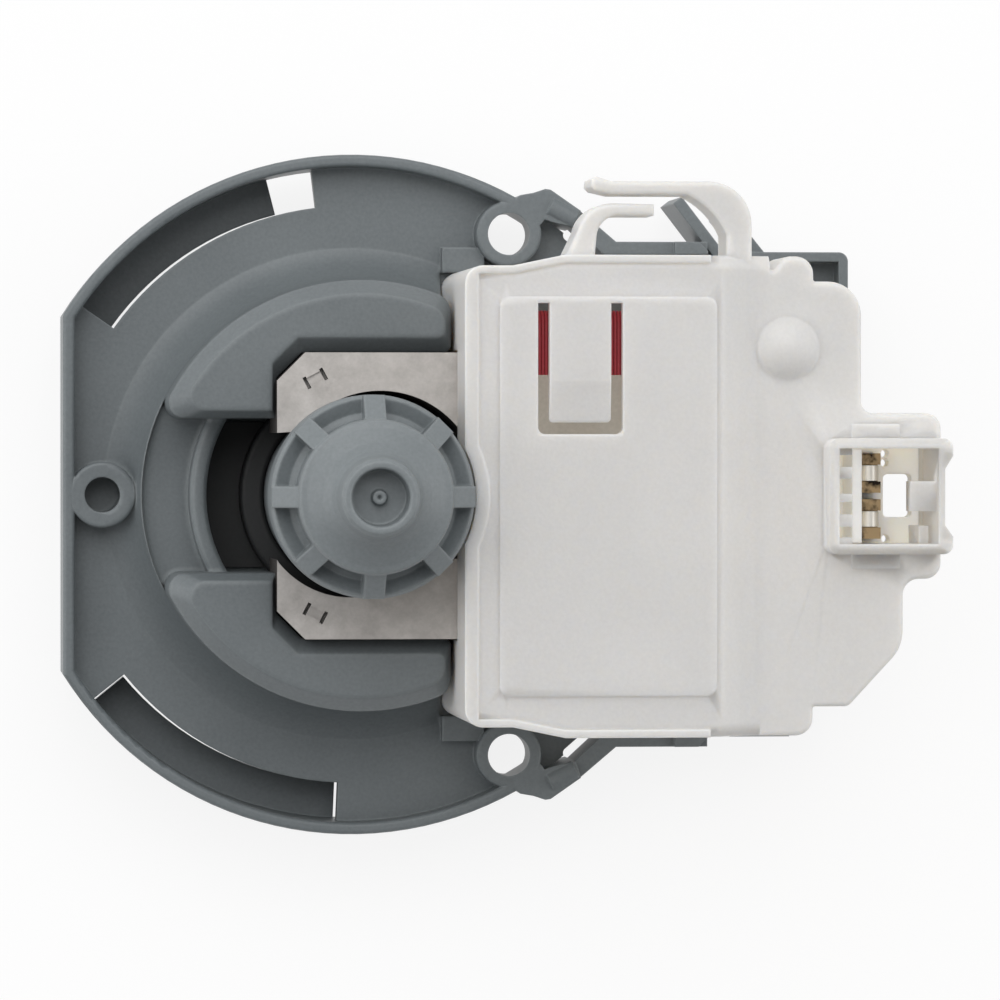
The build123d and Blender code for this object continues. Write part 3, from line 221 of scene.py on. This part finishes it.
def moulded(name, base, light, roughness, edge=0.35, middle_edge=None, clearness=0):
    """A moulded plastic: faint clouding, a fine grain and rounded edges that a painted highlight lightens.

    middle_edge rounds the edges inside soft_middle. clearness is the share of light that passes a wall.
    """
    made, tree = new_material(name)
    clouds = noise(tree, *cloud_noise)
    skin = noise(tree, *skin_noise)
    rounded = add_node(tree, "ShaderNodeBevel", {"samples": edge_samples, "Radius": edge * mm})
    if middle_edge:
        place = add_node(tree, "ShaderNodeTexCoord")
        plan_place = add_node(
            tree,
            "ShaderNodeVectorMath",
            {"operation": "MULTIPLY", 1: (1, 1, 0)},
            {0: place.outputs["Object"]},
        )
        from_shaft = add_node(
            tree, "ShaderNodeVectorMath", {"operation": "LENGTH"}, {0: plan_place.outputs[0]}
        )
        edge_here = add_node(
            tree,
            "ShaderNodeMapRange",
            {
                "From Min": soft_middle * mm,
                "From Max": (soft_middle + soft_run) * mm,
                "To Min": middle_edge * mm,
                "To Max": edge * mm,
            },
            {"Value": from_shaft.outputs["Value"]},
        )
        tree.links.new(edge_here.outputs["Result"], rounded.inputs["Radius"])
    true_normal = add_node(tree, "ShaderNodeNewGeometry")
    bend = add_node(
        tree,
        "ShaderNodeVectorMath",
        {"operation": "DOT_PRODUCT"},
        {0: rounded.outputs[0], 1: true_normal.outputs["Normal"]},
    )
    # Painted highlight: the colour is lightened where the rounded edges bend the normal away from the face.
    painted_edge_highlight = add_node(
        tree,
        "ShaderNodeMapRange",
        {"From Min": 1.0, "From Max": 0.75, "To Min": 0.0, "To Max": 1.0},
        {"Value": bend.outputs["Value"]},
    )
    cloud_share = add_node(
        tree,
        "ShaderNodeMapRange",
        {"From Min": 0.3, "From Max": 0.7, "To Min": 0.0, "To Max": 0.2},
        {"Value": clouds},
    )
    speckled_share = add_node(
        tree,
        "ShaderNodeMath",
        {"operation": "MULTIPLY_ADD", 1: speckle},
        {0: skin, 2: cloud_share.outputs[0]},
    )
    # This share mixes the random clouding and grain with the painted edge highlight.
    share = add_node(
        tree,
        "ShaderNodeMath",
        {"operation": "ADD", "use_clamp": True},
        {0: speckled_share.outputs[0], 1: painted_edge_highlight.outputs["Result"]},
    )
    bump = add_node(
        tree,
        "ShaderNodeBump",
        {"Strength": grain_strength, "Distance": grain_height * mm},
        {"Height": skin, "Normal": rounded.outputs[0]},
    )
    surface = add_node(
        tree,
        "ShaderNodeBsdfPrincipled",
        {
            "Roughness": roughness,
            "IOR": 1.49,
            "Subsurface Weight": 1.0 if clearness else 0.0,
            "Subsurface Radius": reach_by_colour,
            "Subsurface Scale": light_reach * mm,
        },
        {"Base Color": two_tones(tree, share.outputs[0], base, light), "Normal": bump.outputs[0]},
    )
    if clearness:
        wall_light = add_node(tree, "ShaderNodeBsdfTransparent", {"Color": wall_tint})
        ray = add_node(tree, "ShaderNodeLightPath")
        lamp_share = add_node(
            tree,
            "ShaderNodeMath",
            {"operation": "MULTIPLY", 1: clearness},
            {0: ray.outputs["Is Shadow Ray"]},
        )
        surface = add_node(
            tree,
            "ShaderNodeMixShader",
            {},
            {0: lamp_share.outputs[0], 1: surface.outputs[0], 2: wall_light.outputs[0]},
        )
    show(tree, surface)
    return made


def dress(material, *names):
    """Gives CAD nodes one material."""
    for name in names:
        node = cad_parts[name]
        node.data.materials.clear()
        node.data.materials.append(material)


glass_filled_grey = moulded("glass_filled_grey_plastic", "5b6164", "7b8183", roughness=0.42, middle_edge=1.0)
dress(glass_filled_grey, "mounting_plate", "bearing_plate")

# Rotor can
# The dome, ribs and nose of the can are one moulding with its long body, which holds the rotor. It is
# the same kind of plastic as the plate, without the glass, so it is lighter and smoother.
can_grey = moulded("smooth_grey_plastic", "676d70", "888e90", roughness=0.45, edge=0.5)
dress(can_grey, "rotor_can")

# Stator core
# A U of stamped silicon steel laminations, pressed together, whose legs hold the can between them. Two
# crescents widen the bore, so that the rotor rests at a slant, and dimples lock the laminations. The flat
# faces are bright with dark smears. The cut edges, and every other face that doesn't face the rear end,
# are dark with painted shade.
core_front, core_rear = 22.0, 38.0
core_end = 10.85
core_right = 48.0
core_half_width = 17.85
leg_inner = 7.85
yoke_left = 38.0
end_chamfer = 3.5
bore_circles = ((0, 0, 11.9), (15, 2.1, 12.55), (215, 2.0, 11.5))
bore_step = 2
dimple_place = (-6.1, 14.6)
dimple_tilt = 28
dimple_middle = (2.8, 1.1, 0.3)
dimple_slot = (0.45, 1.6, 1.2)
leg_turns = ((20, 160), (200, 340))
lamination, groove_share = 0.5, 0.12
smear_noise = (320.0, 8.0, 0.75)


def prism(name, outline, front, rear, material):
    """A solid with this plan, whose points run anticlockwise, between two heights."""
    count = len(outline)
    sides = [(i, (i + 1) % count, (i + 1) % count + count, i + count) for i in range(count)]
    return mesh_piece(
        name,
        [(x, y, z) for z in (front, rear) for x, y in outline],
        [tuple(reversed(range(count))), tuple(range(count, 2 * count)), *sides],
        material,
    )


def reworked(piece, tools, operation="DIFFERENCE"):
    """Cuts the tools out of a piece, or joins them to it, and leaves it a plain mesh."""
    for tool in tools:
        modifier = piece.modifiers.new(tool.name, "BOOLEAN")
        modifier.operation = operation
        modifier.solver = "EXACT"
        modifier.object = tool
    seen = piece.evaluated_get(bpy.context.evaluated_depsgraph_get())
    piece.data = bpy.data.meshes.new_from_object(seen)
    piece.modifiers.clear()
    for tool in tools:
        bpy.data.objects.remove(tool)


def bore_reach(angle):
    """How far the bore reaches from the shaft in this direction."""
    return max(
        shift * cos(radians(angle - turn)) + sqrt(radius**2 - (shift * sin(radians(angle - turn))) ** 2)
        for turn, shift, radius in bore_circles
    )


def leg_edge(first, last):
    """Points of the bore's edge on one leg, between two directions."""
    around = [(bore_reach(angle), radians(angle)) for angle in range(first, last + 1, bore_step)]
    edge = [(reach * cos(turn), reach * sin(turn)) for reach, turn in around]
    return [(x, y) for x, y in edge if abs(y) > leg_inner]


core_steel, tree = new_material("laminated_core_steel")
place = add_node(tree, "ShaderNodeTexCoord")
apart = add_node(tree, "ShaderNodeSeparateXYZ", {}, {0: place.outputs["Object"]})
stack_place = add_node(
    tree, "ShaderNodeMath", {"operation": "PINGPONG", 1: lamination / 2 * mm}, {0: apart.outputs["Z"]}
)
groove = add_node(
    tree,
    "ShaderNodeMapRange",
    {"From Min": 0.0, "From Max": groove_share * lamination * mm, "To Min": 0.0, "To Max": 1.0},
    {"Value": stack_place.outputs[0]},
)
press_marks = add_node(
    tree, "ShaderNodeBump", {"Strength": 0.5, "Distance": 0.1 * mm}, {"Height": groove.outputs["Result"]}
)
steel_skin = add_node(tree, "ShaderNodeNewGeometry")
facing = add_node(tree, "ShaderNodeSeparateXYZ", {}, {0: steel_skin.outputs["True Normal"]})
smeared = two_tones(tree, noise(tree, *smear_noise), "837e7a", "d5d1cd")
# Painted shade: a face gets the dark tone by how far it turns from the rear end, not by any mark.
shade_painted_sides_or_flat = two_tones(tree, facing.outputs["Z"], "3d3a38", smeared)
surface = add_node(
    tree,
    "ShaderNodeBsdfPrincipled",
    {"Metallic": 0.12, "Roughness": 0.6},
    {"Base Color": shade_painted_sides_or_flat, "Normal": press_marks.outputs[0]},
)
show(tree, surface)
upper_edge, lower_edge = (leg_edge(first, last) for first, last in leg_turns)
core = prism(
    "laminated_core",
    [
        (-core_end, leg_inner),
        *[(x, y) for x, y in reversed(upper_edge) if x > -core_end],
        (upper_edge[0][0], leg_inner),
        (yoke_left, leg_inner),
        (yoke_left, -leg_inner),
        (lower_edge[-1][0], -leg_inner),
        *[(x, y) for x, y in reversed(lower_edge) if x > -core_end],
        (-core_end, lower_edge[0][1]),
        (-core_end, end_chamfer - core_half_width),
        (end_chamfer - core_end, -core_half_width),
        (core_right, -core_half_width),
        (core_right, core_half_width),
        (end_chamfer - core_end, core_half_width),
        (-core_end, core_half_width - end_chamfer),
    ],
    core_front,
    core_rear,
    core_steel,
)
dimple_cuts = []
slot_shift = (dimple_middle[0] - dimple_slot[0]) / 2
for leg in (1, -1):
    turn = Matrix.Rotation(radians(leg * dimple_tilt), 2)
    centre = Vector((dimple_place[0], leg * dimple_place[1]))
    forms = ((0, dimple_middle), (slot_shift, dimple_slot), (-slot_shift, dimple_slot))
    for shift, (length, width, depth) in forms:
        corners = [
            centre + turn @ Vector((shift + across * length / 2, up * width / 2))
            for across, up in ((-1, -1), (1, -1), (1, 1), (-1, 1))
        ]
        cut_name = f"dimple_cut_{len(dimple_cuts)}"
        dimple_cuts.append(prism(cut_name, corners, core_rear - depth, core_rear + depth, core_steel))
reworked(core, dimple_cuts)
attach(core, "pump_body")
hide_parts("stator_core")

# Rubber pieces
# The can's seal, the O-ring on the spigot and the bearings' holders are black nitrile rubber with a dull
# skin. They are pressed in place and held by their own stretch.
nitrile_rubber = moulded("nitrile_rubber", "1b1c1d", "2b2c2d", roughness=0.6, edge=0.2)
dress(nitrile_rubber, "can_seal", "spigot_seal", "front_bearing_holder", "rear_bearing_holder")

# Painted shade on the recess floor
# A thin sheet of the seal's black rubber lies on the floor of the recess beside the can, between the two
# shoulders. It is a dark sheet put where the recess is in shade, and stands in for that shade.
shade_sheet_outer = 18.8
shade_sheet_inner = 14.45
shade_sheet_front = 16.0
shade_sheet_rear = 16.7
shade_sheet_half_width = 9.3
shade_sheet_steps = 24


def shade_sheet_arc(radius):
    """Plan points of an arc beside the can, as far as the shoulders on both sides."""
    half_angle = asin(shade_sheet_half_width / radius)
    turns = [pi + half_angle * (2 * step / shade_sheet_steps - 1) for step in range(shade_sheet_steps + 1)]
    return [(radius * cos(turn), radius * sin(turn)) for turn in turns]


# Painted shade: this dark sheet darkens the recess floor, where there is only shade.
recess_shade_sheet = prism(
    "can_recess_shade_sheet", shade_sheet_arc(shade_sheet_outer) + shade_sheet_arc(shade_sheet_inner)[::-1], shade_sheet_front, shade_sheet_rear, nitrile_rubber
)
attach(recess_shade_sheet, "pump_body")

# Bearings and rotor
# Sintered carbon bushes and washers, and a dark ferrite magnet that is glued to its hub. The drive dog,
# the impeller and its cap are mouldings of black acetal.
sintered_carbon = moulded("sintered_carbon", "2b2c2e", "3a3b3d", roughness=0.45, edge=0.1)
ferrite = moulded("sintered_ferrite", "34363a", "44464a", roughness=0.5, edge=0.2)
black_plastic = moulded("black_acetal", "222527", "33373a", roughness=0.4, edge=0.25)
dress(sintered_carbon, "front_bearing", "rear_bearing", "front_thrust_washer", "rear_thrust_washer")
dress(ferrite, "rotor_magnet")
dress(black_plastic, "drive_dog", "impeller", "impeller_cap")

# Bobbins, hub and terminal block
# Beige nylon that stands the heat of the windings, moulded so thin that light gets through its walls. The
# terminal block is clipped into the cover, and holds the contacts and the ends of the windings.
thin_wall = 0.93
beige_nylon = moulded("beige_nylon", "fdf7eb", "fffcf6", roughness=0.45, edge=0.25, clearness=thin_wall)
dress(beige_nylon, "upper_bobbin", "lower_bobbin", "rotor_hub", "terminal_block")

# Windings
# Fine copper wire with a red enamel, wound in layers on the two bobbins. The wire is drawn thicker than
# the real 0.2 mm, so that the turns still show through the slit in the cover.
red_enamel = moulded("red_wire_enamel", "982834", "a85058", roughness=0.28, edge=0.1)
wire_radius = 0.2
wire_pitch = 0.41
wire_corner = 1.5
wire_sides = 8
corner_points = 5
nesting = 0.87
quarter_turn = radians(90)
usual_turns, usual_side = 10, 10


def geometry_tree(name, sizes):
    """A Geometry Nodes tree with named number inputs, and its input and output nodes."""
    made = bpy.data.node_groups.new(name, "GeometryNodeTree")
    for size, value in sizes.items():
        kind = "NodeSocketInt" if isinstance(value, int) else "NodeSocketFloat"
        made.interface.new_socket(size, in_out="INPUT", socket_type=kind).default_value = value
    made.interface.new_socket("Geometry", in_out="OUTPUT", socket_type="NodeSocketGeometry")
    return made, made.nodes.new("NodeGroupInput"), made.nodes.new("NodeGroupOutput")


winding_tree, given, result = geometry_tree(
    "wound_wire",
    {
        "Turns": usual_turns,
        "Pitch": wire_pitch * mm,
        "Wire Radius": wire_radius * mm,
        "Width": usual_side * mm,
        "Height": usual_side * mm,
        "Corner": wire_corner * mm,
    },
)
loop = add_node(
    winding_tree,
    "GeometryNodeCurvePrimitiveQuadrilateral",
    {},
    {"Width": given.outputs["Width"], "Height": given.outputs["Height"]},
)
rounded_loop = add_node(
    winding_tree,
    "GeometryNodeFilletCurve",
    {"mode": "POLY", "Count": corner_points},
    {"Curve": loop.outputs[0], "Radius": given.outputs["Corner"]},
)
upright_loop = add_node(
    winding_tree,
    "GeometryNodeTransform",
    {"Rotation": (quarter_turn, 0, quarter_turn)},
    {"Geometry": rounded_loop.outputs[0]},
)
next_turn = add_node(winding_tree, "ShaderNodeCombineXYZ", {}, {"X": given.outputs["Pitch"]})
turns_line = add_node(
    winding_tree,
    "GeometryNodeMeshLine",
    {"mode": "OFFSET"},
    {"Count": given.outputs["Turns"], "Offset": next_turn.outputs[0]},
)
turns = add_node(
    winding_tree,
    "GeometryNodeInstanceOnPoints",
    {},
    {"Points": turns_line.outputs[0], "Instance": upright_loop.outputs[0]},
)
real_turns = add_node(winding_tree, "GeometryNodeRealizeInstances", {}, {0: turns.outputs[0]})
section = add_node(
    winding_tree,
    "GeometryNodeCurvePrimitiveCircle",
    {"Resolution": wire_sides},
    {"Radius": given.outputs["Wire Radius"]},
)
wires = add_node(
    winding_tree,
    "GeometryNodeCurveToMesh",
    {},
    {"Curve": real_turns.outputs[0], "Profile Curve": section.outputs[0]},
)
enamelled = add_node(
    winding_tree, "GeometryNodeSetMaterial", {"Material": red_enamel}, {"Geometry": wires.outputs[0]}
)
winding_tree.links.new(enamelled.outputs[0], result.inputs[0])


def made_by(tree, name, sizes, place):
    """The plain mesh that a tree makes with these sizes, moved to place, as a new object."""
    holder = bpy.data.objects.new(name, bpy.data.meshes.new(name))
    bpy.context.scene.collection.objects.link(holder)
    modifier = holder.modifiers.new(name, "NODES")
    modifier.node_group = tree
    for socket in tree.interface.items_tree:
        if socket.name in sizes:
            modifier[socket.identifier] = sizes[socket.name]
    seen = holder.evaluated_get(bpy.context.evaluated_depsgraph_get())
    mesh = bpy.data.meshes.new_from_object(seen)
    mesh.transform(Matrix.Translation(place))
    holder.modifiers.remove(modifier)
    holder.data = mesh
    return holder


for side in ("upper", "lower"):
    low, high = (Vector(corner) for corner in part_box(f"{side}_winding"))
    middle = (low + high) / 2
    layers = []
    for level in (0, 1):
        sunk = wire_radius + level * wire_pitch * nesting
        turn_count = int((high.x - low.x) / (wire_pitch * mm)) - 1 - level
        layers.append(
            made_by(
                winding_tree,
                f"{side}_wire_layer_{level}",
                {
                    "Turns": turn_count,
                    "Width": high.y - low.y - 2 * sunk * mm,
                    "Height": high.z - low.z - 2 * sunk * mm,
                },
                Vector((low.x + (wire_radius + level * wire_pitch / 2) * mm, middle.y, middle.z)),
            )
        )
    for layer in layers:
        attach(layer, "pump_body")
    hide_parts(f"{side}_winding")

# Insulating strip
# A strip of polyester film with a paper backing, laid over the windings under the cover. The slit in
# the cover shows it, greyish and a little mottled.
strip_film = moulded("insulating_film", "a09c94", "c8c3ba", roughness=0.5, edge=0.05)
dress(strip_film, "insulating_strip")

# Coil cover
# A moulding of white polypropylene, satin, with soft edges, thin enough to let light through. It is the
# CAD part's own mesh, with rounded corners on its neck, window and tongue and a low lip along its edge.
white_plastic = moulded(
    "white_polypropylene", "cbcac9", "dfdedc", roughness=0.45, edge=0.5, clearness=thin_wall
)
cover_left, neck_half_width, cover_face, panel_face = 11.6, 28.4, 49.0, 49.4
neck_round = 2.2
window_edges = (20.6, 31.1)
window_bottom = 7.65
window_slit = 1.45
window_round = 0.9
window_wall = 1.9
window_fill_drop = 0.15
tongue_round = 0.5
corner_steps = 8
spare = 0.4
neck_end, cover_shoulder, cover_half_width = 17.5, 24.0, 29.75
bite_radius = 13.0
rim_height, rim_depth = 0.35, 1.4
rim_left_width, rim_top_width = 1.7, 1.0
rim_end = 42.0
bite_steps = 16
merge_reach = 0.001
sharp_from = 30


def corner_block(corner, toward, rounding):
    """Plan of what lies between a square corner and its rounding, whose centre lies toward that side."""
    (x, y), (right, up) = corner, toward
    turns = [radians(90 * step / corner_steps) for step in range(corner_steps + 1)]
    curve = [(x + right * rounding * (1 - sin(t)), y + up * rounding * (1 - cos(t))) for t in turns]
    outline = [
        (x - right * spare, y - up * spare),
        (x + right * rounding, y - up * spare),
        *curve,
        (x - right * spare, y + up * rounding),
    ]
    return outline if right * up > 0 else outline[::-1]


cover = bpy.data.objects.new("rounded_coil_cover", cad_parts["coil_cover"].data.copy())
bpy.context.scene.collection.objects.link(cover)
cover.data.materials.clear()
cover.data.materials.append(white_plastic)
merged = bmesh.new()
merged.from_mesh(cover.data)
bmesh.ops.remove_doubles(merged, verts=merged.verts, dist=merge_reach * mm)
merged.to_mesh(cover.data)
merged.free()
cover_low, cover_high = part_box("coil_cover")
cuts = [
    prism(
        f"neck_cut_{side}",
        corner_block((cover_left, side * neck_half_width), (1, -side), neck_round),
        cover_low.z / mm - spare,
        cover_high.z / mm + spare,
        white_plastic,
    )
    for side in (1, -1)
]
for side, edge in ((1, window_edges[0] + window_slit), (-1, window_edges[1] - window_slit)):
    tongue_corner = (edge, window_bottom + window_slit)
    cuts.append(
        prism(
            f"tongue_cut_{side}",
            corner_block(tongue_corner, (side, 1), tongue_round),
            panel_face - window_wall - spare,
            panel_face + spare,
            white_plastic,
        )
    )
reworked(cover, cuts)
fills = [
    prism(
        f"window_fill_{side}",
        corner_block((edge, window_bottom), (side, 1), window_round),
        panel_face - window_wall,
        panel_face - window_fill_drop,
        white_plastic,
    )
    for side, edge in ((1, window_edges[0]), (-1, window_edges[1]))
]
corner_x, corner_y = cover_left + neck_round, neck_half_width - neck_round
corner_turns = [radians(90 + 90 * step / corner_steps) for step in range(corner_steps + 1)]
upper_outer = [
    (rim_end, cover_half_width),
    (cover_shoulder, cover_half_width),
    (neck_end, neck_half_width),
    *[(corner_x + neck_round * cos(t), corner_y + neck_round * sin(t)) for t in corner_turns],
]
upper_inner = [
    (rim_end, cover_half_width - rim_top_width),
    (cover_shoulder, cover_half_width - rim_top_width),
    (neck_end, neck_half_width - rim_top_width),
    (cover_left + rim_left_width, neck_half_width - rim_top_width),
]


def bite_arc(radius, left):
    """Plan points of the bite for the can, from the upper side to the lower, right of this line."""
    half_angle = acos(left / radius)
    turns = [half_angle * (1 - 2 * step / bite_steps) for step in range(bite_steps + 1)]
    return [(radius * cos(t), radius * sin(t)) for t in turns]


rim_outer = [
    *upper_outer,
    *bite_arc(bite_radius, cover_left),
    *[(x, -y) for x, y in reversed(upper_outer)],
]
rim_inner = [
    *upper_inner,
    *bite_arc(bite_radius + rim_left_width, cover_left + rim_left_width),
    *[(x, -y) for x, y in reversed(upper_inner)],
]
rim_low, rim_high = cover_face - rim_depth, cover_face + rim_height
fills.append(prism("cover_rim", rim_outer + rim_inner[::-1], rim_low, rim_high, white_plastic))
reworked(cover, fills, "UNION")
cover.data.shade_smooth()
cover.data.set_sharp_from_angle(angle=radians(sharp_from))
even_shading = cover.modifiers.new("even_shading", "WEIGHTED_NORMAL")
even_shading.keep_sharp = True
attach(cover, "pump_body")
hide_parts("coil_cover")

# Contacts
# Stamped brass, with a pair of blades on each contact, pressed into the terminal block. The brass has
# gone brown, with dark patches.
contact_brass, tree = new_material("stamped_brass")
tarnish_noise = (420.0, 4.0)
patches = add_node(
    tree,
    "ShaderNodeMapRange",
    {"From Min": 0.42, "From Max": 0.56},
    {"Value": noise(tree, *tarnish_noise)},
)
surface = add_node(
    tree,
    "ShaderNodeBsdfPrincipled",
    {"Metallic": 1.0, "Roughness": 0.35},
    {"Base Color": two_tones(tree, patches.outputs["Result"], "2f2823", "b39a76")},
)
show(tree, surface)
dress(contact_brass, "upper_contact", "lower_contact")

# Winding pins and shaft
# Ground steel for the shaft, and tinned steel for the two pins that the windings end on. The skin is dull
# in places.
tinned, tree = new_material("tinned_wire")
dull_noise = (1500.0, 2.0)
gloss = add_node(
    tree,
    "ShaderNodeMapRange",
    {"From Min": 0.0, "From Max": 1.0, "To Min": 0.25, "To Max": 0.5},
    {"Value": noise(tree, *dull_noise)},
)
surface = add_node(
    tree,
    "ShaderNodeBsdfPrincipled",
    {"Base Color": colour("dedad2"), "Metallic": 0.8},
    {"Roughness": gloss.outputs["Result"]},
)
show(tree, surface)
dress(tinned, "upper_winding_pin", "lower_winding_pin", "rotor_shaft")
